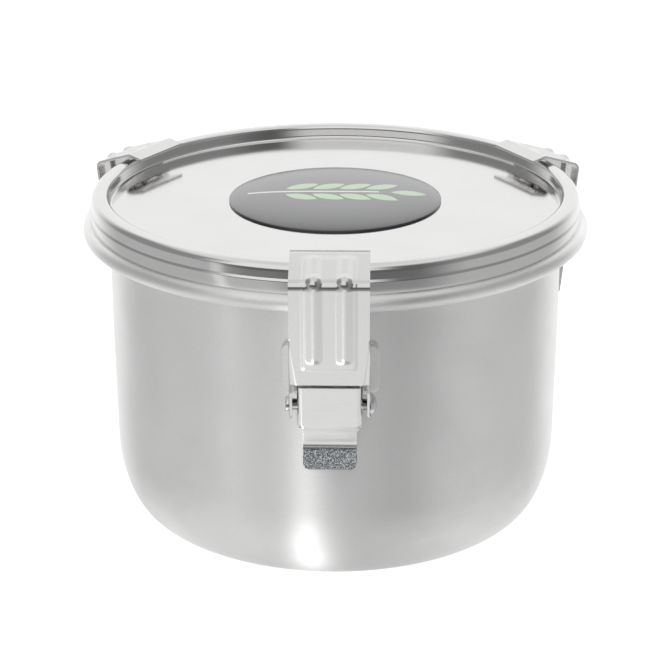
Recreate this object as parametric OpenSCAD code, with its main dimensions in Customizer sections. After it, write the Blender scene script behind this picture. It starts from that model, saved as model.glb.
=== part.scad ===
// Round food canister in stainless sheet: a deep-drawn vessel, a dished lid with a silicone seal
// and a domed badge, and three over-centre draw latches spaced evenly round the wall.
// Millimetres. +Z is up, the origin is the centre of the flat base, and one latch faces -Y.

/* [Vessel] */
// Outside radius of the straight wall
wall_r = 54.1; // [50:0.1:60]
// Radius where the flat base meets the rounded corner
foot_r = 45.3; // [38:0.1:48]
// Outside radius at the top of the rounded corner
corner_r = 53.8; // [50:0.1:54]
// Height of the rounded corner
corner_h = 19.2; // [12:0.1:26]
// Thickness of the sheet that the vessel and lid are pressed from
sheet = 0.6; // [0.5:0.05:0.7]
// Outside radius of the rolled bead below the lid
bead_r = 60.3; // [59:0.1:61]
// Height of the middle of the bead
bead_z = 70.7; // [68:0.1:70.7]
// Half the height of the bead
bead_half = 1.9; // [1.6:0.1:1.9]
// Middle radius of the neck that stands inside the lid's channel
neck_r = 56.3; // [56.1:0.05:56.5]
// Height of the curled rim at the top of the neck
rim_z = 76.95; // [76:0.05:77]

/* [Lid] */
// Height of the lid skirt's lower edge
skirt_z = 72.8; // [72.7:0.05:73.5]
// Outside radius of the skirt
skirt_r = 58.55; // [58.3:0.05:59]
// Height of the crown, the highest ring of the lid
crown_z = 79.4; // [79:0.1:79.5]
// Radius of the crown's inner wall
crown_in_r = 54.1; // [53.8:0.1:54.2]
// Height of the flat panel's top face
panel_z = 75.9; // [75.5:0.1:76.3]

/* [Badge] */
// Radius of the badge
badge_r = 25.4; // [20:0.1:30]
// Thickness of the badge's printed disc
badge_disc_h = 0.4; // [0.2:0.05:0.6]
// Rise of the clear dome above the disc
dome_h = 1.6; // [1:0.1:2]
// How flat the dome's top is: 2 gives a plain ellipse and a larger number a flatter top
dome_flat = 3.2; // [2:0.1:4]
// Length of one kernel of the ear of grain on the badge
kernel_l = 8.6; // [6:0.1:9]
// Thickness of the kernels and the stalk
motif_h = 0.2; // [0.1:0.05:0.25]

/* [Latches] */
// Sheet thickness of every latch pressing
plate = 0.6; // [0.5:0.05:0.6]
// Distance of the lever's pivot from the canister's axis
pivot_r = 58.7; // [58.6:0.1:58.8]
// Height of the lever's pivot
pivot_z = 55.6; // [55.4:0.1:55.8]
// Distance of the hook's pin from the canister's axis
hook_pin_r = 58.5; // [58.4:0.1:58.6]
// Height of the hook's pin
hook_pin_z = 47.4; // [47.2:0.1:47.6]
// Radius of both pins
pin_r = 1.25; // [1.1:0.05:1.3]
// Radial clearance of a pin in a hole that turns on it
running = 0.05; // [0.02:0.01:0.1]
// Width of the hook plate over its side flanges
hook_w = 17.8; // [17:0.1:18]
// Width of the lever over its side flanges
lever_w = 14.3; // [14.2:0.1:15.2]
// Width of the lever's finger tab
tab_w = 11.9; // [10:0.1:13]
// Width of the bracket over its two ears
ears_w = 12.6; // [12:0.1:12.6]
// Width of the bracket's foot plate, measured along the wall
foot_w = 21.8; // [20:0.1:24]
// Thickness of the bracket
bracket_t = 0.8; // [0.6:0.1:0.8]
// Width of one stiffening rib on the hook plate
rib_w = 3.6; // [3:0.1:4]
// Distance between the middles of the two ribs
rib_gap = 6.5; // [6:0.1:7]
// Height of the ribs above the hook plate
rib_h = 0.45; // [0.3:0.05:0.5]

/* [Hidden] */
$fn = 96;

// Direction of each latch from the axis, in degrees
front = -90;
right = front + 120;
left = front + 240;

// Steps along a pressed corner and along the vessel's rounded foot
bend_steps = 6;
foot_steps = 14;
// A length that reaches through everything near a latch
through = 40;
pivot = [pivot_r, pivot_z];
hook_pin = [hook_pin_r, hook_pin_z];
// The wall is straight above this height and draws in very slightly below it
straight_z = 44;
cove_r = 1.5;
neck_bend_r = 0.8;
curl_r = 0.75;

// Outer face of the hook plate, from its lower edge to the end of its lip, as [radius, height]
hook_foot = [61.95, 53];
hook_shoulder = [65.2, 77.6];
hook_ridge = [54.6, 81.2];
hook_lip = [50.9, 80.35];
hook_shoulder_bend = 1.3;
hook_ridge_bend = 1.4;
// Outer face of the lever, from the top of its web to the end of its finger tab
lever_top = [61, 52.2];
lever_waist = [59.6, 42.5];
lever_valley = [57.1, 37.9];
lever_tip = [61, 33];
lever_valley_bend = 2.9;
// Where the ribs end on the hook plate's face
rib_low_z = 58.3;
rib_in_r = 57.5;

// ---- Outlines ----

function unit(v) = v / norm(v);
function left_of(v) = [-v[1], v[0]];
function reversed(p) = [for (i = [len(p) - 1:-1:0]) p[i]];
// A full turn is added or taken so that an angle lies within half a turn of zero
function half_turn(a) = a > 180 ? a - 360 : a < -180 ? a + 360 : a;

// Points of an arc that rounds the corner a-b-c
function bend(a, b, c, r) =
    let (u = unit(a - b),
         v = unit(c - b),
         half = acos(u * v) / 2,
         centre = b + unit(u + v) * r / sin(half),
         from = b + u * r / tan(half) - centre,
         to = b + v * r / tan(half) - centre,
         start = atan2(from[1], from[0]),
         turn = half_turn(atan2(to[1], to[0]) - start))
    [for (i = [0:bend_steps])
        centre + r * [cos(start + turn * i / bend_steps), sin(start + turn * i / bend_steps)]];

// Which way, and how far, point i moves when the whole line moves one unit to its left
function beside_at(p, i) =
    let (last = len(p) - 1,
         before = left_of(unit(p[max(i, 1)] - p[max(i, 1) - 1])),
         after = left_of(unit(p[min(i, last - 1) + 1] - p[min(i, last - 1)])))
    (before + after) / (1 + before * after);
function beside(p, d) = [for (i = [0:len(p) - 1]) p[i] + d * beside_at(p, i)];
// The section of a sheet whose one face is d0 and whose other face is d1 to the left of a line
function sheet_section(p, d0, d1) = concat(beside(p, d0), reversed(beside(p, d1)));

module spun(p) {
    rotate_extrude() polygon(sheet_section(p, -sheet / 2, sheet / 2));
}

// A section drawn as [radius, height], as wide as w along the latch's tangent, offset sideways by t
module across(w, t = 0) {
    translate([0, t, 0]) rotate([90, 0, 0]) linear_extrude(w, center = true) children();
}
module bore(at, r) {
    translate([at[0], 0, at[1]]) rotate([90, 0, 0]) cylinder(r = r, h = through, center = true);
}
module disc(at, r) {
    translate(at) circle(r = r);
}
module both_sides(t) {
    for (side = [-1, 1]) translate([0, side * t, 0]) children();
}

// ---- Vessel ----

bead_c = [bead_r - bead_half, bead_z];
bead_line = bead_half - sheet / 2;
wall_line = wall_r - sheet / 2;
shelf = [wall_line, bead_z - bead_line];
neck_foot = [neck_r, bead_z + bead_line];

vessel_line = concat(
    [[0, sheet / 2]],
    [for (i = [0:foot_steps])
        let (a = 90 * i / foot_steps)
        [foot_r + (corner_r - sheet / 2 - foot_r) * sin(a),
         sheet / 2 + (corner_h - sheet / 2) * (1 - cos(a))]],
    [[wall_line, straight_z]],
    bend([wall_line, straight_z], shelf, bead_c - [0, bead_line], cove_r),
    [for (i = [0:2 * bend_steps])
        let (a = -90 + 90 * i / bend_steps)
        bead_c + bead_line * [cos(a), sin(a)]],
    bend(bead_c + [0, bead_line], neck_foot, [neck_r, rim_z], neck_bend_r),
    [[neck_r, rim_z - curl_r]]);

module vessel() {
    color("silver") {
        spun(vessel_line);
        // the edge of the neck is curled over, so the seal meets a round rim
        rotate_extrude() disc([neck_r, rim_z - curl_r], curl_r);
    }
}

// ---- Lid, seal and badge ----

half_sheet = sheet / 2;
// how far the skirt's upper part and the crown stand in from the skirt's foot
joggle = 0.3;
crown_inset = 0.55;
joggle_z = 2.6;
skirt_foot = [skirt_r - half_sheet, skirt_z];
skirt_step = skirt_foot + [0, joggle_z];
skirt_joggle = skirt_foot + [-joggle, joggle_z + 0.5];
crown_out = [skirt_r - crown_inset - half_sheet, crown_z - half_sheet];
crown_in = [crown_in_r + half_sheet, crown_z - half_sheet];
panel_edge = [crown_in_r + half_sheet, panel_z - half_sheet];
panel_middle = [0, panel_z - half_sheet];
crown_out_bend = 1.1;
crown_in_bend = 0.8;
panel_bend = 1;

lid_line = concat(
    [skirt_foot, skirt_step, skirt_joggle],
    bend(skirt_joggle, crown_out, crown_in, crown_out_bend),
    bend(crown_out, crown_in, panel_edge, crown_in_bend),
    bend(crown_in, panel_edge, panel_middle, panel_bend),
    [panel_middle]);

module lid() {
    color("gainsboro") spun(lid_line);
}

// the seal has a little room at each side of its channel, and stands just clear of the rim below it
seal_room = 0.1;
seal_gap = 0.15;
seal_in = crown_in_r + sheet + seal_room;
seal_out = skirt_r - crown_inset - sheet - seal_gap;
seal_low = rim_z + seal_gap;
seal_top = crown_z - sheet;
seal_edge = 0.75;

module gasket() {
    color("whitesmoke") rotate_extrude()
        polygon([[seal_in, seal_low], [seal_out, seal_low], [seal_out, seal_top - seal_edge],
                 [seal_out - seal_edge, seal_top], [seal_in + seal_edge, seal_top],
                 [seal_in, seal_top - seal_edge]]);
}

disc_top = panel_z + badge_disc_h;
dome_steps = 20;
dome_round = 0.7;
// each kernel is what two equal circles share; its length sets how far apart they stand
kernel_bow = 1.35 * kernel_l / 2;
kernel_shift = sqrt(kernel_bow * kernel_bow - kernel_l * kernel_l / 4);
// the ear lies along X: pairs of kernels either side of the stalk, and one at its tip
kernel_rows = [-8, -1.6, 4.8, 11.2];
kernel_out = 4.1;
kernel_lean = 28;
tip_kernel = 17.6;
stalk_from = -21;
stalk_to = 10.5;
stalk_w = 1;

module kernel(at, lean) {
    translate(at) rotate(lean) intersection() {
        translate([kernel_shift, 0]) circle(r = kernel_bow);
        translate([-kernel_shift, 0]) circle(r = kernel_bow);
    }
}
module motif_outline() {
    rotate(-90) {
        for (row = kernel_rows, side = [-1, 1])
            kernel([side * kernel_out, row], -side * kernel_lean);
        kernel([0, tip_kernel], 0);
        translate([-stalk_w / 2, stalk_from]) square([stalk_w, stalk_to - stalk_from]);
    }
}
module motif_solid() {
    translate([0, 0, disc_top]) linear_extrude(motif_h) motif_outline();
}
module badge_disc() {
    color("dimgray") translate([0, 0, panel_z]) cylinder(r = badge_r, h = badge_disc_h);
}
module badge_dome() {
    dome_arc = [for (i = [0:dome_steps])
        let (share = cos(90 * i / dome_steps))
        [badge_r * share, disc_top + dome_h * pow(1 - pow(share, dome_flat), dome_round)]];
    color("darkslategray") difference() {
        rotate_extrude() polygon(concat([[0, disc_top]], dome_arc));
        motif_solid();
    }
}
module badge_motif() {
    color("palegreen") motif_solid();
}

// ---- Latch pressings, drawn for a latch that faces +X ----

// Radial room of a pin in a hole that holds it fast
seat = 0.01;
ear_r = 2.4;
ear_side = (ears_w - bracket_t) / 2;
foot_low = 48;
foot_high = 60;
foot_corner = 2;

module foot_outline() {
    for (y = [-1, 1], z = [foot_low + foot_corner, foot_high - foot_corner])
        disc([y * (foot_w / 2 - foot_corner), z], foot_corner);
    translate([-foot_w / 2, foot_low + foot_corner])
        square([foot_w, foot_high - foot_low - 2 * foot_corner]);
    translate([foot_corner - foot_w / 2, foot_low])
        square([foot_w - 2 * foot_corner, foot_high - foot_low]);
}
// The foot follows the wall, and two ears stand out from it to carry the lever's pin
module bracket() {
    color("lightgray") {
        intersection() {
            rotate([90, 0, 90]) linear_extrude(2 * wall_r) foot_outline();
            difference() {
                cylinder(r = wall_r + bracket_t, h = foot_high + 1);
                translate([0, 0, -1]) cylinder(r = wall_r, h = foot_high + 3);
            }
        }
        difference() {
            both_sides(ear_side) across(bracket_t) {
                translate([wall_r, pivot_z - ear_r]) square([pivot_r - wall_r, 2 * ear_r]);
                disc(pivot, ear_r);
            }
            bore(pivot, pin_r + seat);
            // the ears are cut back where they meet the wall's curve
            cylinder(r = wall_r + 0.05, h = 2 * pivot_z);
        }
    }
}

lever_line = concat(
    [lever_tip], bend(lever_tip, lever_valley, lever_waist, lever_valley_bend), [lever_waist]);
lever_flange_r = 2.35;
// The lower back corner of each side, where it runs out into the tab
lever_flange_heel = [57.1, 42];

module lever() {
    color("lightgray") difference() {
        union() {
            // web in front of the two pins
            across(lever_w) polygon(sheet_section([lever_waist, lever_top], 0, plate));
            // narrower finger tab below it, bent in and then flared out
            across(tab_w) polygon(sheet_section(lever_line, 0, plate));
            both_sides((lever_w - plate) / 2) across(plate) lever_flange();
        }
        bore(pivot, pin_r + running);
        bore(hook_pin, pin_r + running);
    }
}
module lever_flange() {
    disc(pivot, lever_flange_r);
    disc(hook_pin, lever_flange_r);
    polygon([[pivot_r - lever_flange_r, pivot_z], [hook_pin_r - lever_flange_r, hook_pin_z],
             lever_flange_heel, lever_waist - [0.3, 0.4], lever_top - [0.1, 0],
             [pivot_r + lever_flange_r, pivot_z]]);
}

shoulder_arc = bend(hook_foot, hook_shoulder, hook_ridge, hook_shoulder_bend);
hook_line = concat(
    [hook_foot], shoulder_arc, bend(hook_shoulder, hook_ridge, hook_lip, hook_ridge_bend), [hook_lip]);
face_run = hook_shoulder - hook_foot;
roof_run = hook_ridge - hook_shoulder;
function hook_face(z) = hook_foot + face_run * (z - hook_foot[1]) / face_run[1];
function hook_roof(r) = hook_shoulder + roof_run * (r - hook_shoulder[0]) / roof_run[0];
rib_line = concat([hook_face(rib_low_z)], shoulder_arc, [hook_roof(rib_in_r)]);
hook_flange_r = 2.5;
// The plate is this much narrower at each side than the folded sides below it
hook_plate_inset = 0.2;
// Heights where the folded side begins, is as deep as it gets, and ends, and its lower corners' radii
flank_top_z = 63.6;
flank_deep_z = 51.5;
flank_low_z = 44;
flank_out_r = 60.6;
flank_mid_r = 59.4;
flank_in_r = 57.6;

module hook_plate() {
    color("gainsboro") difference() {
        union() {
            across(hook_w - 2 * hook_plate_inset) polygon(sheet_section(hook_line, 0, plate));
            for (side = [-1, 1])
                across(rib_w, side * rib_gap / 2) polygon(sheet_section(rib_line, -rib_h, plate / 2));
            both_sides((hook_w - plate) / 2) across(plate) hook_flange();
        }
        bore(hook_pin, pin_r + seat);
    }
}
module hook_flange() {
    back_r = hook_pin_r - hook_flange_r;
    disc(hook_pin, hook_flange_r);
    polygon([hook_face(flank_top_z) - [1.4, 0], hook_face(flank_top_z - 1.4) - [0.1, 0],
             hook_foot - [0.1, 0], [flank_out_r, flank_low_z + 0.9], [flank_mid_r, flank_low_z],
             [flank_in_r, flank_low_z], [back_r, hook_pin_z - 1], [back_r, flank_deep_z]]);
}

// A plain pin whose two ends are closed over outside the lever's flanges
lever_pin_head_r = 1.85;
lever_pin_head_h = 0.3;

module lever_pin() {
    span = lever_w / 2 + running;
    color("darkgray") translate([pivot_r, 0, pivot_z]) rotate([90, 0, 0]) {
        cylinder(r = pin_r, h = 2 * span, center = true);
        for (side = [-1, 1])
            translate([0, 0, side * (span + lever_pin_head_h / 2)])
                cylinder(r = lever_pin_head_r, h = lever_pin_head_h, center = true);
    }
}

// A rivet with a domed head on one side and a small closed end on the other
rivet_head_r = 2.75;
rivet_head_h = 1.4;
rivet_tail_r = 1.75;
rivet_tail_h = 0.8;

module hook_rivet() {
    dome = (rivet_head_r * rivet_head_r + rivet_head_h * rivet_head_h) / (2 * rivet_head_h);
    half = hook_w / 2;
    color("darkgray") translate([hook_pin_r, 0, hook_pin_z]) rotate([-90, 0, 0]) {
        cylinder(r = pin_r, h = hook_w, center = true);
        intersection() {
            translate([0, 0, half + rivet_head_h - dome]) sphere(r = dome);
            translate([0, 0, half]) cylinder(r = rivet_head_r, h = 2 * rivet_head_h);
        }
        translate([0, 0, -half - rivet_tail_h]) cylinder(r = rivet_tail_r, h = rivet_tail_h);
    }
}

vessel();
lid();
gasket();
badge_disc();
badge_dome();
badge_motif();
rotate(front) bracket();  // front_bracket
rotate(front) lever();  // front_lever
rotate(front) hook_plate();  // front_hook_plate
rotate(front) lever_pin();  // front_lever_pin
rotate(front) hook_rivet();  // front_hook_pin
rotate(right) bracket();  // right_bracket
rotate(right) lever();  // right_lever
rotate(right) hook_plate();  // right_hook_plate
rotate(right) lever_pin();  // right_lever_pin
rotate(right) hook_rivet();  // right_hook_pin
rotate(left) bracket();  // left_bracket
rotate(left) lever();  // left_lever
rotate(left) hook_plate();  // left_hook_plate
rotate(left) lever_pin();  // left_lever_pin
rotate(left) hook_rivet();  // left_hook_pin
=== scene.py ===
import bmesh
import bpy
import numpy as np
from mathutils import Matrix, Vector


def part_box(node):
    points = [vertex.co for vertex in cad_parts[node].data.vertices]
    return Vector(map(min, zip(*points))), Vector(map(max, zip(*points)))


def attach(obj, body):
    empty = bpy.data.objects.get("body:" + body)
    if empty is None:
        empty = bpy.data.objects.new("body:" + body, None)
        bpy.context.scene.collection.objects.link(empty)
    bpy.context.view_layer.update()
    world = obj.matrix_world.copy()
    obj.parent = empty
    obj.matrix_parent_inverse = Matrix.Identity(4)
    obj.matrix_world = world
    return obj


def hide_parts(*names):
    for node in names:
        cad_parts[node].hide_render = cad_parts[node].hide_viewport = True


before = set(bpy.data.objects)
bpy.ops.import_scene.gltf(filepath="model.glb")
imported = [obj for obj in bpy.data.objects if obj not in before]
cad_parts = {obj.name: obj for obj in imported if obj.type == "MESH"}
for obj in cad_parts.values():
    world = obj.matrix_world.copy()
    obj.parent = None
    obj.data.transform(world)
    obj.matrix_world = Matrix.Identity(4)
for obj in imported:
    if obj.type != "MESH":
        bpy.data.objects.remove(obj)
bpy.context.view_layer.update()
mm = 0.001


# ---- Studio ----
# A pale light table under the canister, a bright sky behind and above it and a dimmer room in front,
# which is what polished steel needs to show its shape. Two windows and a broad lamp light it from the
# front left, and the table is a little darker on the right.

class Wire:
    """An output of a shader node. Arithmetic on it adds Math nodes to the same tree."""

    def __init__(self, tree, node, socket):
        self.tree = tree
        self.node = node
        self.socket = socket

    def out(self, name):
        return Wire(self.tree, self.node, self.node.outputs[name])

    def math(self, operation, *others):
        inputs = dict(enumerate((self, *others)))
        return self.tree.add("ShaderNodeMath", {"operation": operation}, inputs)

    def __add__(self, other):
        return self.math("ADD", other)

    def __radd__(self, other):
        return self.math("ADD", other)

    def __mul__(self, other):
        return self.math("MULTIPLY", other)

    def __rmul__(self, other):
        return self.math("MULTIPLY", other)

    def __sub__(self, other):
        return self.math("SUBTRACT", other)

    def __rsub__(self, other):
        return (self * -1.0).math("ADD", other)

    def __truediv__(self, other):
        return self.math("DIVIDE", other)

    def ease(self, low, high):
        """0 below low and 1 above high, with a smooth step between; low may be the larger one."""
        flat = {"interpolation_type": "SMOOTHSTEP"}
        return self.tree.add("ShaderNodeMapRange", flat, {0: self, 1: low, 2: high, 3: 0.0, 4: 1.0})


class Tree:
    """The node tree of a material or the world, empty at first."""

    def __init__(self, owner):
        owner.use_nodes = True
        self.nodes = owner.node_tree.nodes
        self.links = owner.node_tree.links
        self.nodes.clear()

    def add(self, kind, settings, inputs, out=0):
        """Adds a node: its settings are set first, then each of its inputs is given a value or a Wire."""
        node = self.nodes.new(kind)
        for key, value in settings.items():
            setattr(node, key, value)
        for key, value in inputs.items():
            if isinstance(value, Wire):
                self.links.new(value.socket, node.inputs[key])
            else:
                node.inputs[key].default_value = value
        return Wire(self, node, node.outputs[out] if len(node.outputs) else None)


def grey(level, warmth=0.0):
    """A neutral colour of that level, a little warmer or cooler."""
    return (level * (1 + warmth), level, level * (1 - warmth), 1.0)


sky_light = 1.03
overhead_light = 0.8
side_light = 0.52
dim_light = 0.3
lamp_light = 0.8
room_light = 0.14
near_table_light = 0.16
left_light = 0.26
table_light = 0.97
steep_fall = 0.34
right_shade = 0.14
window_light = 5.6
gap_light = 0.3

world = bpy.data.worlds.new("studio")
bpy.context.scene.world = world
sky = Tree(world)
toward = sky.add("ShaderNodeSeparateXYZ", {}, {0: sky.add("ShaderNodeTexCoord", {}, {}, "Generated")})
height = toward.out("Z")
azimuth = toward.out("X").math("ARCTAN2", toward.out("Y") * -1.0)
turned_away = azimuth.math("ABSOLUTE")
ahead = turned_away.ease(np.radians(66), np.radians(36))
aside = turned_away.ease(np.radians(150), np.radians(115))
in_room = height.ease(-0.56, -0.46) * height.ease(0.9, 0.6)
on_table = height.ease(-0.46, -0.56)
open_sky = sky_light - (sky_light - overhead_light) * height.ease(0.7, 1.0)
on_the_left = azimuth.ease(np.radians(-12), np.radians(-32))
room = room_light + (near_table_light + left_light * on_the_left) * height.ease(-0.15, -0.3)
lamp_across = azimuth.ease(np.radians(-68), np.radians(-44)) * azimuth.ease(np.radians(34), np.radians(14))
behind_camera = lamp_light * lamp_across * height.ease(0.17, 0.27)
beside = side_light - (side_light - dim_light) * height.ease(-0.1, 0.15)
walls = beside - (beside - room) * ahead + behind_camera
above = open_sky - (open_sky - walls) * aside * in_room
window_across = azimuth.ease(np.radians(-27), np.radians(-20)) * azimuth.ease(np.radians(-9), np.radians(-16))
window_up = height.ease(-0.99, -0.93) * height.ease(-0.56, -0.86)
gap_across = azimuth.ease(np.radians(-58), np.radians(-55)) * azimuth.ease(np.radians(-49), np.radians(-52))
shade_across = azimuth.ease(np.radians(6), np.radians(17)) * azimuth.ease(np.radians(52), np.radians(36))
table = table_light - steep_fall * height.ease(-0.68, -0.95) - right_shade * shade_across
lit_gaps = window_light * window_across * window_up + gap_light * gap_across * height.ease(0.2, 0.0)
radiance = above + (table - above) * on_table + lit_gaps
background = sky.add("ShaderNodeBackground", {}, {"Color": (1, 1, 1, 1), "Strength": radiance})
sky.add("ShaderNodeOutputWorld", {}, {"Surface": background})

floor_r = 3.0
floor_mesh = bpy.data.meshes.new("floor")
rim = np.linspace(0, 2 * np.pi, 64, endpoint=False)
rim_points = np.stack([floor_r * np.cos(rim), floor_r * np.sin(rim), np.zeros(64)], 1)
floor_mesh.from_pydata(rim_points, [], [list(range(64))])
floor = bpy.data.objects.new("floor", floor_mesh)
bpy.context.scene.collection.objects.link(floor)
floor.visible_glossy = False
pale = bpy.data.materials.new("pale_table")
table_top = Tree(pale)
glow = table_top.add("ShaderNodeEmission", {}, {"Color": grey(1.0), "Strength": 0.86})
matt = table_top.add("ShaderNodeBsdfDiffuse", {}, {"Color": grey(0.45)})
lit = table_top.add("ShaderNodeAddShader", {}, {0: glow, 1: matt})
table_top.add("ShaderNodeOutputMaterial", {}, {"Surface": lit})
floor_mesh.materials.append(pale)

lamp = bpy.data.lights.new("softbox", "AREA")
lamp.shape = "DISK"
lamp.size = 0.5
lamp.energy = 1.2
softbox = bpy.data.objects.new("softbox", lamp)
bpy.context.scene.collection.objects.link(softbox)
softbox.location = (-0.35, 0.25, 0.75)
softbox.rotation_euler = (Vector((0, 0, 0.05)) - softbox.location).to_track_quat("-Z", "Y").to_euler()
softbox.visible_camera = False
softbox.visible_glossy = False

# The camera looks down at the canister from a little over half a metre, past its front latch.
view_height = np.radians(20.84)
view_turn = np.radians(1.5)
view_roll = np.radians(-0.18)
view_distance = 515.33 * mm
looked_at = np.array([-2.54, 0.0, 43.67]) * mm
backward = np.array([0.0, -np.cos(view_height), np.sin(view_height)])
rightward = np.array([1.0, 0.0, 0.0])
upward = np.cross(backward, rightward)
tilted = rightward * np.cos(view_roll) + upward * np.sin(view_roll)
axes = np.stack([tilted, np.cross(backward, tilted), backward], 1)
pose = np.eye(4)
pose[:3, :3] = axes
pose[:3, 3] = looked_at + view_distance * backward
orbit = np.array(Matrix.Rotation(view_turn, 4, "Z"))
camera_data = bpy.data.cameras.new("camera")
camera_data.sensor_width = 36.0
camera_data.lens = 116.31
camera_data.clip_start = 0.01
camera = bpy.data.objects.new("camera", camera_data)
bpy.context.scene.collection.objects.link(camera)
camera.matrix_world = Matrix(orbit @ pose)
bpy.context.scene.camera = camera
bpy.context.scene.view_settings.view_transform = "Standard"


# ---- Vessel ----
# A cup deep-drawn from 0.6 mm stainless sheet, with a large rounded foot, a bead rolled outwards below
# the lid and a neck with a curled rim. Its wall has a fine satin finish that runs round it.

sheet = 0.6 * mm
wall_r = 54.1 * mm
foot_r = 45.3 * mm
corner_r = 53.8 * mm
corner_h = 19.2 * mm
straight_z = 44 * mm
vessel_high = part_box("vessel")[1]
bead_r = vessel_high.x - 0.01 * mm
bead_half = 1.9 * mm
bead_z = 70.7 * mm
neck_r = 56.3 * mm
curl_r = 0.75 * mm


def arc(centre, r, start, end, steps):
    """Points of a circle's arc: centre + r (cos a, sin a), with a from start to end in degrees."""
    a = np.radians(np.linspace(start, end, steps + 1))
    return np.asarray(centre) + r * np.stack([np.cos(a), np.sin(a)], 1)


def bent_line(corners, radii, steps=8):
    """A line through corners whose inner corners are rounded: each one becomes the arc of that radius
    that touches both legs. A point just before and just after each arc keeps the legs flat."""
    corners = np.asarray(corners, float)
    points = [corners[:1]]
    for before, at, after, r in zip(corners, corners[1:], corners[2:], radii):
        u = (before - at) / np.linalg.norm(before - at)
        v = (after - at) / np.linalg.norm(after - at)
        half = np.arccos(np.clip(u @ v, -1, 1)) / 2
        centre = at + (u + v) / np.linalg.norm(u + v) * r / np.sin(half)
        reach = r / np.tan(half)
        share = np.linspace(0, 1, steps + 1)[:, None]
        first = at + u * reach - centre
        last = at + v * reach - centre
        span = np.pi - 2 * half
        turn = (np.sin((1 - share) * span) * first + np.sin(share * span) * last) / np.sin(span)
        points.append(np.concatenate([[at + u * reach * 1.15], centre + turn, [at + v * reach * 1.15]]))
    return np.concatenate(points + [corners[-1:]])


def beside_line(line, d):
    """The line moved by d to its left, each point along the mean of its two legs' normals."""
    legs = np.diff(line, axis=0)
    legs /= np.linalg.norm(legs, axis=1)[:, None]
    left = np.stack([-legs[:, 1], legs[:, 0]], 1)
    before = np.concatenate([left[:1], left])
    after = np.concatenate([left, left[-1:]])
    return line + d * (before + after) / (1 + np.sum(before * after, 1))[:, None]


def new_piece(name, grid, round_rows=False, round_columns=False, keep=None):
    """A surface through a grid of points, one quad between each four neighbours. round_rows joins each
    row's end to its start, round_columns each column's. Rows that meet in one point make a pole."""
    rows, columns = grid.shape[:2]
    i, j = np.meshgrid(np.arange(rows - (not round_columns)), np.arange(columns - (not round_rows)),
                       indexing="ij")
    below = (i + 1) % rows
    beyond = (j + 1) % columns
    quads = np.stack([i * columns + j, i * columns + beyond, below * columns + beyond, below * columns + j],
                     -1)
    quads = quads[keep] if keep is not None else quads.reshape(-1, 4)
    mesh = bpy.data.meshes.new(name)
    mesh.from_pydata(grid.reshape(-1, 3), [], quads)
    work = bmesh.new()
    work.from_mesh(mesh)
    bmesh.ops.remove_doubles(work, verts=work.verts, dist=1e-7)
    loose = [v for v in work.verts if not v.link_faces]
    bmesh.ops.delete(work, geom=loose, context="VERTS")
    work.to_mesh(mesh)
    work.free()
    mesh.shade_smooth()
    piece = bpy.data.objects.new(name, mesh)
    bpy.context.scene.collection.objects.link(piece)
    return piece


def spun(profile, steps=288):
    """The profile [radius, height] carried round the Z axis: a point at angle a is (r cos a, r sin a, z)."""
    a = np.linspace(0, 2 * np.pi, steps, endpoint=False)
    r, z = profile[:, :1], profile[:, 1:]
    return np.stack([r * np.cos(a), r * np.sin(a), z + 0 * a], -1)


def finish_piece(piece, body, nodes, material):
    piece.data.materials.append(material)
    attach(piece, body)
    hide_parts(*nodes)


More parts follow.
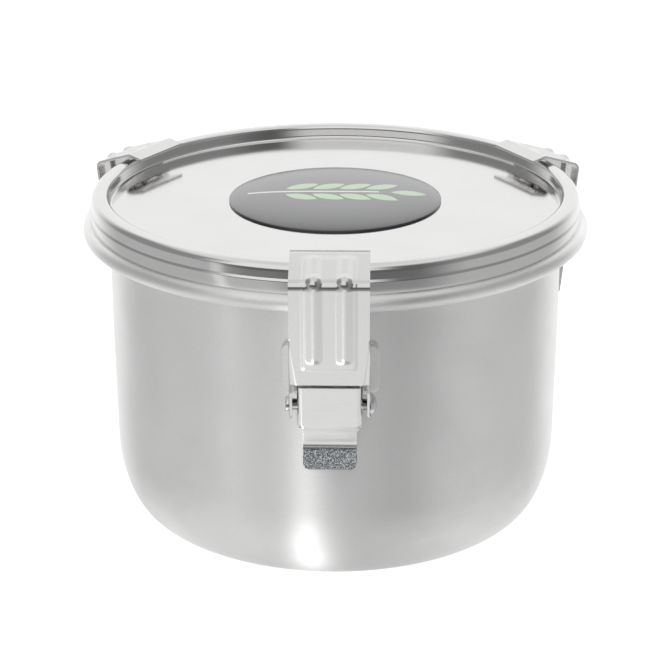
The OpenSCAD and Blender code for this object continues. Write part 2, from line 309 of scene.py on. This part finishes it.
def steel(name, level, roughness, grain_bump, waviness, cloud=0.04, brushed=0.0, rough_and_painted_dark_below=0.0):
    """Stainless steel: fine lines round the axis from polishing, faint clouds in colour and gloss, and
    the slow waves that pressing leaves. brushed spreads its reflections up and down, as brushing round
    the axis does. Below the given height it is rough and grainy, and its colour there is painted dark,
    a painted reflection of the dim room, with painted bright glints."""
    material = bpy.data.materials.new(name)
    tree = Tree(material)
    place = tree.add("ShaderNodeTexCoord", {}, {}, "Object")
    round_lines = tree.add("ShaderNodeMapping", {}, {"Vector": place, "Scale": (60.0, 60.0, 9000.0)})
    grain = tree.add("ShaderNodeTexNoise", {}, {"Vector": round_lines, "Scale": 1.0, "Detail": 3.0})
    clouds = tree.add("ShaderNodeTexNoise", {}, {"Vector": place, "Scale": 90.0, "Detail": 4.0})
    waves = tree.add("ShaderNodeTexNoise", {}, {"Vector": place, "Scale": 45.0, "Detail": 1.0})
    specks = tree.add("ShaderNodeTexNoise", {}, {"Vector": place, "Scale": 2600.0, "Detail": 2.0})
    shade = 1 + cloud * (clouds - 0.5) * 2 + 0.05 * (specks - 0.5) * 2 + 0.04 * (grain - 0.5) * 2
    shades = tree.add("ShaderNodeCombineColor", {}, {0: shade, 1: shade, 2: shade})
    tint = tree.add("ShaderNodeMix", {"data_type": "RGBA", "blend_type": "MULTIPLY"},
                    {"Factor": 1.0, "A": grey(level, 0.006), "B": shades}, "Result")
    gloss = roughness * (1 + 0.25 * (clouds - 0.5) * 2 + 0.3 * (grain - 0.5) * 2)
    slow = tree.add("ShaderNodeBump", {}, {"Strength": 1.0, "Distance": waviness, "Height": waves})
    fine = tree.add("ShaderNodeBump", {}, {"Strength": 1.0, "Distance": grain_bump, "Height": grain,
                                           "Normal": slow})
    if rough_and_painted_dark_below:
        up = tree.add("ShaderNodeSeparateXYZ", {}, {0: place}).out("Z")
        rough_and_painted_dark_part = up.ease(rough_and_painted_dark_below, rough_and_painted_dark_below - 0.4 * mm)
        painted_glint_part = up.ease(rough_and_painted_dark_below, rough_and_painted_dark_below - 1.0 * mm)
        grit = tree.add("ShaderNodeTexVoronoi", {}, {"Vector": place, "Scale": 2600.0})
        sparkle = tree.add("ShaderNodeTexNoise", {}, {"Vector": place, "Scale": 4200.0, "Detail": 2.0})
        painted_glints = sparkle.ease(0.42, 0.68) * painted_glint_part
        # Painted shade and painted glints: a dark colour stands in for the dim room's reflection, and bright
        # specks stand in for sparkle. The roughness and grit bumps are real.
        painted_dark_and_glints = tree.add("ShaderNodeMix", {"data_type": "RGBA"},
                        {"Factor": painted_glints, "A": (0.13, 0.14, 0.15, 1), "B": (0.88, 0.92, 0.94, 1)}, "Result")
        tint = tree.add("ShaderNodeMix", {"data_type": "RGBA"},
                        {"Factor": rough_and_painted_dark_part, "A": tint, "B": painted_dark_and_glints}, "Result")
        gloss = gloss + rough_and_painted_dark_part * 0.22
        fine = tree.add("ShaderNodeBump", {}, {"Strength": 1.0, "Distance": 0.09 * mm,
                        "Height": (grit + sparkle) * rough_and_painted_dark_part, "Normal": fine})
    metal = tree.add("ShaderNodeBsdfPrincipled", {}, {
        "Base Color": tint, "Metallic": 1.0, "Roughness": gloss, "Anisotropic": brushed,
        "Anisotropic Rotation": 0.25, "Normal": fine})
    tree.add("ShaderNodeOutputMaterial", {}, {"Surface": metal})
    return material


wall_line = wall_r - sheet / 2
foot_arc = np.radians(np.linspace(0, 90, 25))
foot_line = np.stack([foot_r + (corner_r - sheet / 2 - foot_r) * np.sin(foot_arc),
                      sheet / 2 + (corner_h - sheet / 2) * (1 - np.cos(foot_arc))], 1)
bead_at = np.array([bead_r - bead_half, bead_z])
bead_line = bead_half - sheet / 2
shoulder = bent_line([[wall_line, straight_z], [wall_line, bead_z - bead_line], bead_at - [0, bead_line]],
                     [1.5 * mm])
bead = arc(bead_at, bead_line, -90, 90, 20)
curl_at = np.array([neck_r, vessel_high.z - curl_r])
curl_dip = np.sqrt(curl_r ** 2 - (sheet / 2) ** 2)
curl_turn = np.degrees(np.arctan2(curl_dip, sheet / 2))
neck = bent_line([bead_at + [0, bead_line], [neck_r, bead_z + bead_line], curl_at - [0, curl_dip]],
                 [0.8 * mm])
vessel_line = np.concatenate([[[0, sheet / 2], [foot_r * 0.98, sheet / 2]], foot_line, shoulder[:-1], bead,
                              neck[1:]])
curl = arc(curl_at, curl_r, -curl_turn, 180 + curl_turn, 16)
vessel_profile = np.concatenate([beside_line(vessel_line, -sheet / 2)[:-1], curl,
                                 beside_line(vessel_line, sheet / 2)[-2::-1]])
satin_steel = steel("satin_steel", 0.93, 0.42, 0.002 * mm, 0.01 * mm, brushed=0.85)
vessel = new_piece("vessel_cup", spun(vessel_profile), round_rows=True)
finish_piece(vessel, "vessel_body", ["vessel"], satin_steel)


# ---- Brackets ----
# Each latch is carried by a plate that follows the wall and is spot-welded to it. Two ears are folded
# out of the plate, and the lever's pin goes through them.

latches = {"front": np.radians(-90), "right": np.radians(30), "left": np.radians(150)}
bracket_t = 0.8 * mm
plate_w = 21.8 * mm
plate_low = 48 * mm
plate_high = 60 * mm
plate_corner = 2 * mm
pivot = np.array([58.7, 55.6]) * mm
ear_r = 2.4 * mm
ear_at = 5.9 * mm


def on_latch(points, turn):
    """Points drawn as [outwards, sideways, up] for a latch, turned about the Z axis to where it stands."""
    out, side, up = points[..., 0], points[..., 1], points[..., 2]
    x = out * np.cos(turn) - side * np.sin(turn)
    y = out * np.sin(turn) + side * np.cos(turn)
    return np.stack([x, y, up], -1)


def break_edges(piece, width):
    """Bevels a piece's sharp edges, as tumbling the parts does."""
    soften = piece.modifiers.new("edges", "BEVEL")
    soften.width = width
    soften.segments = 2
    soften.limit_method = "ANGLE"
    soften.angle_limit = np.radians(50)


def thicken(piece, thickness, edge):
    """Gives a pressed face its sheet thickness behind it, and breaks the sharp edges."""
    wall = piece.modifiers.new("sheet", "SOLIDIFY")
    wall.thickness = thickness
    wall.offset = -1.0
    break_edges(piece, edge)


def flat_plates(name, outline, sides, thickness, turn):
    """A piece of flat plates that stand across the latch. Each has the outline [outwards, up] at its side
    and again at side + thickness, filled on both faces and joined round the edge."""
    count = len(outline)
    ring = np.arange(count)
    beyond = (ring + 1) % count
    walls = np.stack([ring, beyond, beyond + count, ring + count], 1)
    loops = [np.insert(outline, 1, side + d, axis=1) for side in sides for d in (0, thickness)]
    faces = []
    for first in 2 * count * np.arange(len(sides)):
        faces += (walls + first).tolist()
        faces += [(ring[::-1] + first).tolist(), (ring + count + first).tolist()]
    mesh = bpy.data.meshes.new(name)
    mesh.from_pydata(on_latch(np.concatenate(loops), turn), [], faces)
    mesh.shade_smooth()
    piece = bpy.data.objects.new(name, mesh)
    bpy.context.scene.collection.objects.link(piece)
    return piece


latch_steel = steel("pressed_steel", 0.72, 0.17, 0.0015 * mm, 0.02 * mm)

across = np.linspace(-plate_w / 2, plate_w / 2, 89)
in_corner = np.clip(np.abs(across) - (plate_w / 2 - plate_corner), 0, plate_corner)
half_height = (plate_high - plate_low) / 2 - plate_corner + np.sqrt(plate_corner ** 2 - in_corner ** 2)
share = np.linspace(1, -1, 13)[:, None]
plate_grid = np.stack([np.sqrt((wall_r + bracket_t) ** 2 - across ** 2) + 0 * share, across + 0 * share,
                       (plate_low + plate_high) / 2 + share * half_height], -1)
ear_round = arc(pivot, ear_r, -90, 90, 16)
ear_root = wall_r * 0.995
ear_sides = [-ear_at - bracket_t / 2, ear_at - bracket_t / 2]
ear_outline = np.concatenate([[[ear_root, pivot[1] - ear_r]], ear_round, [[ear_root, pivot[1] + ear_r]]])
for name, turn in latches.items():
    plate = new_piece(f"{name}_bracket_plate", on_latch(plate_grid[:, ::-1], turn))
    thicken(plate, bracket_t, 0.25 * mm)
    finish_piece(plate, "vessel_body", [f"{name}_bracket"], satin_steel)
    ears = flat_plates(f"{name}_bracket_ears", ear_outline, ear_sides, bracket_t, turn)
    break_edges(ears, 0.12 * mm)
    finish_piece(ears, "vessel_body", [f"{name}_bracket"], latch_steel)


# ---- Lever pins ----
# A plain steel pin through the two ears and the lever's sides, closed over at both ends.

pin_r = 1.25 * mm
lever_w = 14.3 * mm
pin_head_r = 1.85 * mm
pin_head_h = 0.3 * mm
polished_pin = steel("polished_pin", 0.7, 0.16, 0.0005 * mm, 0.002 * mm)


def spun_across(profile, at, turn, steps=48):
    """The profile [radius, sideways] carried round a latch's cross axis through at: a point at angle a is
    r cos a up and r sin a outwards from it."""
    grid = spun(profile, steps)
    return on_latch(np.stack([at[0] + grid[..., 1], grid[..., 2], at[1] + grid[..., 0]], -1), turn)


pin_half = lever_w / 2 + 0.05 * mm
pin_side = bent_line([[0, pin_half + pin_head_h], [pin_head_r, pin_half + pin_head_h], [pin_head_r, pin_half],
                      [pin_r, pin_half], [pin_r, 0]], [0.14 * mm, 0.08 * mm, 0.05 * mm], 4)
pin_profile = np.concatenate([pin_side[:-1] * [1, -1], pin_side[-2::-1]])
for name, turn in latches.items():
    pin = new_piece(f"{name}_pivot_pin", spun_across(pin_profile, pivot, turn), round_rows=True)
    finish_piece(pin, "vessel_body", [f"{name}_lever_pin"], polished_pin)


# ---- Levers ----
# The lever is folded from 0.6 mm sheet: a web in front, a side either way that turns on the pin, and
# below them a narrower finger tab that first bends in and then flares out, rough so that it grips.

plate_t = 0.6 * mm
rivet_at = np.array([58.5, 47.4]) * mm
lever_corners = np.array([[61.1, 58.0], [61.0, 52.2], [59.6, 42.5], [57.6, 36.7], [61, 33]]) * mm
lever_bends = np.array([0.5, 1.2, 2.9]) * mm
web_top = 52.2 * mm
lever_side_r = 2.35 * mm
tab_w = 11.9 * mm
fold_r = 1.0 * mm


def even_rows(line, spacing):
    """The line resampled at even steps, with the unit normal to its right at each step."""
    run = np.concatenate([[0], np.cumsum(np.linalg.norm(np.diff(line, axis=0), axis=1))])
    steps = np.linspace(0, run[-1], int(run[-1] / spacing) + 1)
    points = np.stack([np.interp(steps, run, line[:, k]) for k in (0, 1)], 1)
    along = np.gradient(points, axis=0)
    along /= np.linalg.norm(along, axis=1)[:, None]
    return points, np.stack([along[:, 1], -along[:, 0]], 1)


def smooth_step(x, low, high):
    """0 below low and 1 above high, 3t^2 - 2t^3 between them."""
    t = np.clip((x - low) / (high - low), 0, 1)
    return t * t * (3 - 2 * t)


def folded(points, normals, half_width, fold, front, back, bent, flat_columns, lift=None):
    """A folded sheet's outer face. Each row is a section square to the line: a flat middle out to
    half_width - fold, then a quarter circle of radius fold, then a side from depth front to depth back.
    Where bent is 0 the row stays flat out to half_width. lift(points, sideways) raises the flat middle."""
    inner = (half_width - fold)[:, None]
    middle = np.linspace(-1, 1, flat_columns)[None, :] * inner
    turn = np.radians(np.linspace(0, 90, 8))[None, 1:]
    down = np.linspace(0, 1, 12)[None, 1:]
    fold = fold[:, None]
    arc_side = inner + fold * np.sin(turn)
    arc_deep = np.maximum(fold * (1 - np.cos(turn)), front[:, None])
    arc_deep = np.minimum(arc_deep, back[:, None])
    start = np.maximum(fold, front[:, None])
    side_deep = start + (np.maximum(back[:, None], start) - start) * down
    bent_side = np.concatenate([arc_side, inner + fold + 0 * down], 1)
    bent_deep = np.concatenate([arc_deep, side_deep], 1)
    count = bent_side.shape[1]
    flat_side = inner + fold * np.linspace(0, 1, count + 1)[None, 1:]
    bent = bent[:, None]
    outer_side = bent * bent_side + (1 - bent) * flat_side
    outer_deep = bent * bent_deep
    side = np.concatenate([-outer_side[:, ::-1], middle, outer_side], 1)
    deep = np.concatenate([outer_deep[:, ::-1], 0 * middle, outer_deep], 1)
    if lift is not None:
        deep = deep - lift(points, side)
    place = points[:, None, :] - normals[:, None, :] * deep[..., None]
    return np.stack([place[..., 0], side, place[..., 1]], -1), count


def disc_depth(z, at, r, face):
    """How deep behind the face the front and the back of a disc's outline lie at height z."""
    half = np.sqrt(np.clip(r ** 2 - (z - at[1]) ** 2, 0, None))
    return face - at[0] - half, face - at[0] + half


lever_points, lever_normals = even_rows(bent_line(lever_corners, lever_bends)[::-1], 0.25 * mm)
lever_z = lever_points[:, 1]
lever_face = lever_points[:, 0]
waist_z = lever_corners[2][1]
narrowing = smooth_step(lever_z, waist_z - 1.6 * mm, waist_z + 0.3 * mm)
lever_half = tab_w / 2 + (lever_w - tab_w) / 2 * narrowing
tip_round = 1.3 * mm
tip_run = np.clip(lever_corners[-1][1] + tip_round - lever_z, 0, tip_round)
lever_half = lever_half - (tip_round - np.sqrt(tip_round ** 2 - tip_run ** 2))
pivot_front, pivot_back = disc_depth(lever_z, pivot, lever_side_r, lever_face)
side_front = np.where(lever_z > pivot[1], pivot_front, 0)
side_back_r = np.interp(lever_z, [waist_z, rivet_at[1] - 2 * mm, pivot[1]],
                        [lever_face[lever_z.size // 2], rivet_at[0] - lever_side_r, pivot[0] - lever_side_r])
side_back = np.where(lever_z > pivot[1], pivot_back, lever_face - side_back_r)
side_bent = smooth_step(lever_z, waist_z - 0.4 * mm, waist_z + 0.5 * mm)
lever_grid, lever_side_columns = folded(
    lever_points, lever_normals, lever_half, np.full_like(lever_z, fold_r), np.maximum(side_front, 0),
    np.maximum(side_back, fold_r), side_bent, 49)
lever_columns = lever_grid.shape[1]
column = np.arange(lever_columns - 1)
on_side = (column < lever_side_columns - 5) | (column >= lever_columns - 1 - (lever_side_columns - 5))
lever_keep = (lever_z[:-1, None] <= web_top) | on_side[None, :]
# Below 37.1 mm the finger tab's colour is painted dark, a painted reflection of the dim room, with painted
# bright glints.
lever_steel = steel("lever_steel", 0.72, 0.17, 0.0015 * mm, 0.02 * mm, rough_and_painted_dark_below=37.1 * mm)
for name, turn in latches.items():
    lever = new_piece(f"{name}_finger_lever", on_latch(lever_grid, turn), keep=lever_keep)
    thicken(lever, plate_t, 0.12 * mm)
    finish_piece(lever, f"{name}_lever_body", [f"{name}_lever"], lever_steel)


# ---- Hook plates ----
# The wide plate that pulls the lid down. It is pressed from 0.6 mm sheet with two ribs that run over
# its bend, reaches over the lid's crown with a turned-down lip, and its lower sides are folded back.

hook_w = 17.8 * mm
roof_w = 17.38 * mm
hook_corners = np.array([[60.76, 44.0], [65.07, 77.6], [54.6, 81.19], [50.9, 80.35]]) * mm
hook_bends = np.array([1.9, 1.4]) * mm
web_low = 53 * mm
side_top = 63.6 * mm
hook_side_r = 2.5 * mm
rib_w = 3.9 * mm
rib_gap = 6.6 * mm
rib_h = 0.42 * mm
rib_low = 58.0 * mm
rib_in = 55.4 * mm
bulge_at = np.array([64.15, 77.95]) * mm
bulge_h = 0.42 * mm
bulge_r = 1.9 * mm
field_w = 11.6 * mm
field_h = 0.14 * mm
field_low = 56.7 * mm

hook_line = bent_line(hook_corners, hook_bends, 10)
hook_points, hook_normals = even_rows(hook_line, 0.25 * mm)
hook_z = hook_points[:, 1]
hook_r = hook_points[:, 0]


def ribs(points, side):
    """The height pressed into the hook plate: each rib is a cosine hump across, inside a low flat field
    with rounded ends, and both fade out at their ends. A round bulge swells each rib at the bend."""
    z = points[:, 1][:, None]
    r = points[:, 0][:, None]
    reach = smooth_step(z, rib_low, rib_low + 1.8 * mm) * smooth_step(r, rib_in, rib_in + 2.0 * mm)
    from_rib = np.abs(np.abs(side) - rib_gap / 2)
    hump = np.cos(np.pi / 2 * np.clip(from_rib / (rib_w / 2), 0, 1)) ** 1.5
    from_bulge = np.sqrt(from_rib ** 2 + (z - bulge_at[1]) ** 2 + (r - bulge_at[0]) ** 2)
    bulge = np.cos(np.pi / 2 * np.clip(from_bulge / bulge_r, 0, 1)) ** 1.2
    field = (smooth_step(np.abs(side), field_w / 2 + 0.35 * mm, field_w / 2 - 0.35 * mm)
             * smooth_step(z, field_low, field_low + 0.9 * mm) * smooth_step(r, rib_in, rib_in + 2 * mm))
    return rib_h * reach * hump + field_h * field + bulge_h * bulge


hook_half = hook_w / 2 - (hook_w - roof_w) / 2 * smooth_step(hook_z, 60 * mm, side_top)
hook_fold = np.interp(hook_z, [web_low - 2 * mm, web_low, 62 * mm], np.array([1.0, 1.8, 0.4]) * mm)
foot_round = 2.0 * mm
foot_run = np.clip(hook_corners[0][1] + foot_round - hook_z, 0, foot_round)
foot_cut = foot_round - np.sqrt(foot_round ** 2 - foot_run ** 2)
flank_back_r = np.interp(hook_z, [rivet_at[1], 51.5 * mm, side_top], [rivet_at[0] - hook_side_r,
                         rivet_at[0] - hook_side_r, hook_r[np.argmin(np.abs(hook_z - side_top))] - 1.6 * mm])
flank_back = np.maximum(hook_r - flank_back_r - foot_cut, hook_fold)
flank_bent = smooth_step(hook_z, side_top + 0.5 * mm, side_top - 0.3 * mm)
hook_grid, hook_side_columns = folded(
    hook_points, hook_normals, hook_half, hook_fold, foot_cut, flank_back, flank_bent, 73, ribs)
hook_columns = hook_grid.shape[1]
column = np.arange(hook_columns - 1)
on_flank = (column < hook_side_columns - 4) | (column >= hook_columns - 1 - (hook_side_columns - 4))
hook_keep = (hook_z[:-1, None] >= web_low) | on_flank[None, :]
for name, turn in latches.items():
    hook = new_piece(f"{name}_hook_pressing", on_latch(hook_grid, turn), keep=hook_keep)
    thicken(hook, plate_t, 0.12 * mm)
    finish_piece(hook, f"{name}_hook_body", [f"{name}_hook_plate"], latch_steel)


# ---- Hook rivets ----
# The rivet that the hook plate turns on, with a domed head on one side and a small closed end on the other.

rivet_head_r = 2.75 * mm
rivet_head_h = 1.4 * mm
rivet_tail_r = 1.75 * mm
rivet_tail_h = 0.8 * mm

dome_ball = (rivet_head_r ** 2 + rivet_head_h ** 2) / (2 * rivet_head_h)
dome_edge = np.degrees(np.arcsin(rivet_head_r / dome_ball))
head_arc = arc([0, hook_w / 2 + rivet_head_h - dome_ball], dome_ball, 90 - dome_edge, 90, 14)
tail = bent_line([[0, -hook_w / 2 - rivet_tail_h], [rivet_tail_r, -hook_w / 2 - rivet_tail_h],
                  [rivet_tail_r, -hook_w / 2], [pin_r, -hook_w / 2]], [0.35 * mm, 0.1 * mm], 5)
rivet_profile = np.concatenate([tail, [[pin_r, hook_w / 2], [rivet_head_r * 0.97, hook_w / 2]], head_arc])
for name, turn in latches.items():
    rivet = new_piece(f"{name}_domed_rivet", spun_across(rivet_profile, rivet_at, turn), round_rows=True)
    finish_piece(rivet, f"{name}_hook_body", [f"{name}_hook_pin"], polished_pin)


# ---- Seal ----
# A ring of white silicone with a chamfered back, pressed into the channel of the lid.

seal_low, seal_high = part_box("gasket")
seal_in = 54.8 * mm
seal_edge = 0.75 * mm
seal_corners = [[seal_in, seal_low.z], [seal_high.x, seal_low.z], [seal_high.x, seal_high.z - seal_edge],
                [seal_high.x - seal_edge, seal_high.z], [seal_in + seal_edge, seal_high.z],
                [seal_in, seal_high.z - seal_edge]]
seal_mid = (np.array(seal_corners[0]) + seal_corners[1]) / 2
seal_profile = bent_line([seal_mid, *seal_corners[1:], seal_corners[0], seal_mid], [0.15 * mm] * 6, 3)[:-1]

silicone = bpy.data.materials.new("white_silicone")
rubber = Tree(silicone)
place = rubber.add("ShaderNodeTexCoord", {}, {}, "Object")
milky = rubber.add("ShaderNodeTexNoise", {}, {"Vector": place, "Scale": 300.0, "Detail": 3.0})
tone = rubber.add("ShaderNodeMix", {"data_type": "RGBA"},
                  {"Factor": milky, "A": (0.78, 0.78, 0.75, 1), "B": (0.86, 0.86, 0.84, 1)}, "Result")
skin = rubber.add("ShaderNodeBump", {}, {"Strength": 0.4, "Distance": 0.02 * mm, "Height": milky})
soft = rubber.add("ShaderNodeBsdfPrincipled", {}, {
    "Base Color": tone, "Roughness": 0.45 + 0.1 * milky, "Normal": skin})
rubber.add("ShaderNodeOutputMaterial", {}, {"Surface": soft})
seal = new_piece("seal_ring", spun(seal_profile, 160), round_rows=True, round_columns=True)
finish_piece(seal, "lid_body", ["gasket"], silicone)


# ---- Lid ----
# Pressed from 0.6 mm stainless sheet and polished: a skirt outside the neck, a crown whose underside
# holds the seal, a short inner wall, and a flat panel that carries the badge.

lid_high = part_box("lid")[1]
skirt_line = lid_high.x - sheet / 2
crown_line = lid_high.z - sheet / 2
crown_in = 54.1 * mm + sheet / 2
panel_z = 75.9 * mm - sheet / 2
skirt_inset = 0.55 * mm
skirt_foot = np.array([skirt_line, 72.8 * mm])
lid_corners = [skirt_foot, skirt_foot + [0, 2.6 * mm], skirt_foot + [-0.3 * mm, 3.1 * mm],
               [skirt_line - skirt_inset, crown_line], [crown_in, crown_line], [crown_in, panel_z],
               [0, panel_z]]
lid_line = bent_line(lid_corners, np.array([0.3, 0.3, 1.6, 0.8, 1.0]) * mm)
panel_out = lid_line[-2][0]
panel_rings = np.stack([panel_out * np.linspace(0.97, 0.05, 14), np.full(14, panel_z)], 1)
lid_line = np.concatenate([lid_line[:-1], panel_rings, lid_line[-1:]])
foot_end = arc(skirt_foot, sheet / 2, 180, 360, 8)[1:-1]
lid_profile = np.concatenate([beside_line(lid_line, sheet / 2)[::-1], foot_end,
                              beside_line(lid_line, -sheet / 2)])
lid_steel = steel("polished_steel", 0.76, 0.11, 0.0004 * mm, 0.02 * mm, cloud=0.02)
lid = new_piece("dished_lid", spun(lid_profile), round_rows=True)
finish_piece(lid, "lid_body", ["lid"], lid_steel)


# ---- Badge ----
# A printed disc glued to the panel, with a dome of clear resin cast on it. The print is dark, with a
# generic ear of grain; seen through the resin the mark looks as if it lay on the dome's surface.

disc_low, disc_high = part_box("badge_disc")
dome_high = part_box("badge_dome")[1]
badge_r = disc_high.x
dome_rise = dome_high.z - disc_high.z
dome_flat = 3.2
dome_round = 0.7


def dome_height(r):
    """The resin dome's height at radius r, the rise times (1 - share^3.2)^0.7 for a share of the badge's
    radius: nearly flat in the middle and rounded down at the rim."""
    return disc_high.z + dome_rise * (1 - np.clip(r / badge_r, 0, 1) ** dome_flat) ** dome_round


def enamel(name, low, high, coat):
    """A printed colour under clear resin: the ink's fine mottle below, and a smooth glossy coat."""
    material = bpy.data.materials.new(name)
    tree = Tree(material)
    place = tree.add("ShaderNodeTexCoord", {}, {}, "Object")
    mottle = tree.add("ShaderNodeTexNoise", {}, {"Vector": place, "Scale": 1500.0, "Detail": 3.0})
    wide = tree.add("ShaderNodeTexNoise", {}, {"Vector": place, "Scale": 60.0, "Detail": 2.0})
    ink = tree.add("ShaderNodeMix", {"data_type": "RGBA"},
                   {"Factor": 0.6 * mottle + 0.4 * wide, "A": low, "B": high}, "Result")
    swell = tree.add("ShaderNodeBump", {}, {"Strength": 0.3, "Distance": 0.01 * mm, "Height": wide})
    body = tree.add("ShaderNodeBsdfPrincipled", {}, {
        "Base Color": ink, "Roughness": 0.26 + 0.06 * wide, "Normal": swell, "IOR": 1.52,
        "Coat Weight": coat, "Coat Roughness": 0.22, "Coat IOR": 1.6})
    tree.add("ShaderNodeOutputMaterial", {}, {"Surface": body})
    return material


disc_profile = bent_line([[0, disc_low.z], [badge_r, disc_low.z], [badge_r, disc_high.z], [0, disc_high.z]],
                         [0.1 * mm, 0.1 * mm], 3)
print_ink = enamel("dark_print", (0.03, 0.032, 0.034, 1), (0.05, 0.052, 0.055, 1), 0.3)
badge_disc = new_piece("badge_print", spun(disc_profile, 192), round_rows=True)
finish_piece(badge_disc, "lid_body", ["badge_disc"], print_ink)

dome_radii = badge_r * np.sin(np.linspace(np.pi / 2, 0, 40))
dome_profile = np.concatenate([[[0, disc_high.z], [badge_r * 0.99, disc_high.z]],
                               np.stack([dome_radii, dome_height(dome_radii)], 1)])
resin = enamel("dark_resin", (0.055, 0.057, 0.06, 1), (0.075, 0.078, 0.08, 1), 1.0)
dome = new_piece("badge_resin_dome", spun(dome_profile, 192), round_rows=True)
finish_piece(dome, "lid_body", ["badge_dome"], resin)

kernel_l = 8.6 * mm
kernel_bow = 1.35 * kernel_l / 2
kernel_shift = np.sqrt(kernel_bow ** 2 - kernel_l ** 2 / 4)
kernel_out = 4.1 * mm
kernel_lean = np.radians(28)
kernel_rows = np.array([-8, -1.6, 4.8, 11.2]) * mm
tip_kernel = 17.6 * mm
stalk_from = -21 * mm
stalk_to = 10.5 * mm
stalk_w = 1.0 * mm
print_above = 0.012 * mm


def lay_on_dome(x, y):
    """Points of a flat shape, set down on the dome's surface just above the resin."""
    return np.stack([x, y, dome_height(np.hypot(x, y)) + print_above], -1)


def kernel(along, aside, lean):
    """One kernel, the lens that two equal circles share: at distance v from its middle it is as wide as
    the circles' overlap there. The ear lies along X."""
    v = np.linspace(-1, 1, 25)[:, None] * kernel_l / 2
    u = np.linspace(-1, 1, 9)[None, :] * (np.sqrt(kernel_bow ** 2 - v ** 2) - kernel_shift)
    x = along + v * np.cos(lean) - u * np.sin(lean)
    y = aside + v * np.sin(lean) + u * np.cos(lean)
    return lay_on_dome(x, y)


green_ink = enamel("green_ink", (0.40, 0.60, 0.36, 1), (0.46, 0.66, 0.41, 1), 1.0)
white_ink = enamel("white_ink", (0.74, 0.75, 0.73, 1), (0.80, 0.80, 0.79, 1), 1.0)
grains = [kernel(row, side * kernel_out, side * kernel_lean) for row in kernel_rows for side in (-1, 1)]
grains.append(kernel(tip_kernel, 0.0, 0.0))
for number, grid in enumerate(grains):
    grain_piece = new_piece(f"badge_kernel_{number + 1}", grid[:, ::-1])
    finish_piece(grain_piece, "lid_body", ["badge_motif"], green_ink)
stalk_x = np.linspace(stalk_from, stalk_to, 60)[:, None]
stalk_y = np.linspace(stalk_w / 2, -stalk_w / 2, 5)[None, :]
stalk = new_piece("badge_stalk", lay_on_dome(stalk_x + 0 * stalk_y, stalk_y + 0 * stalk_x))
finish_piece(stalk, "lid_body", ["badge_motif"], white_ink)
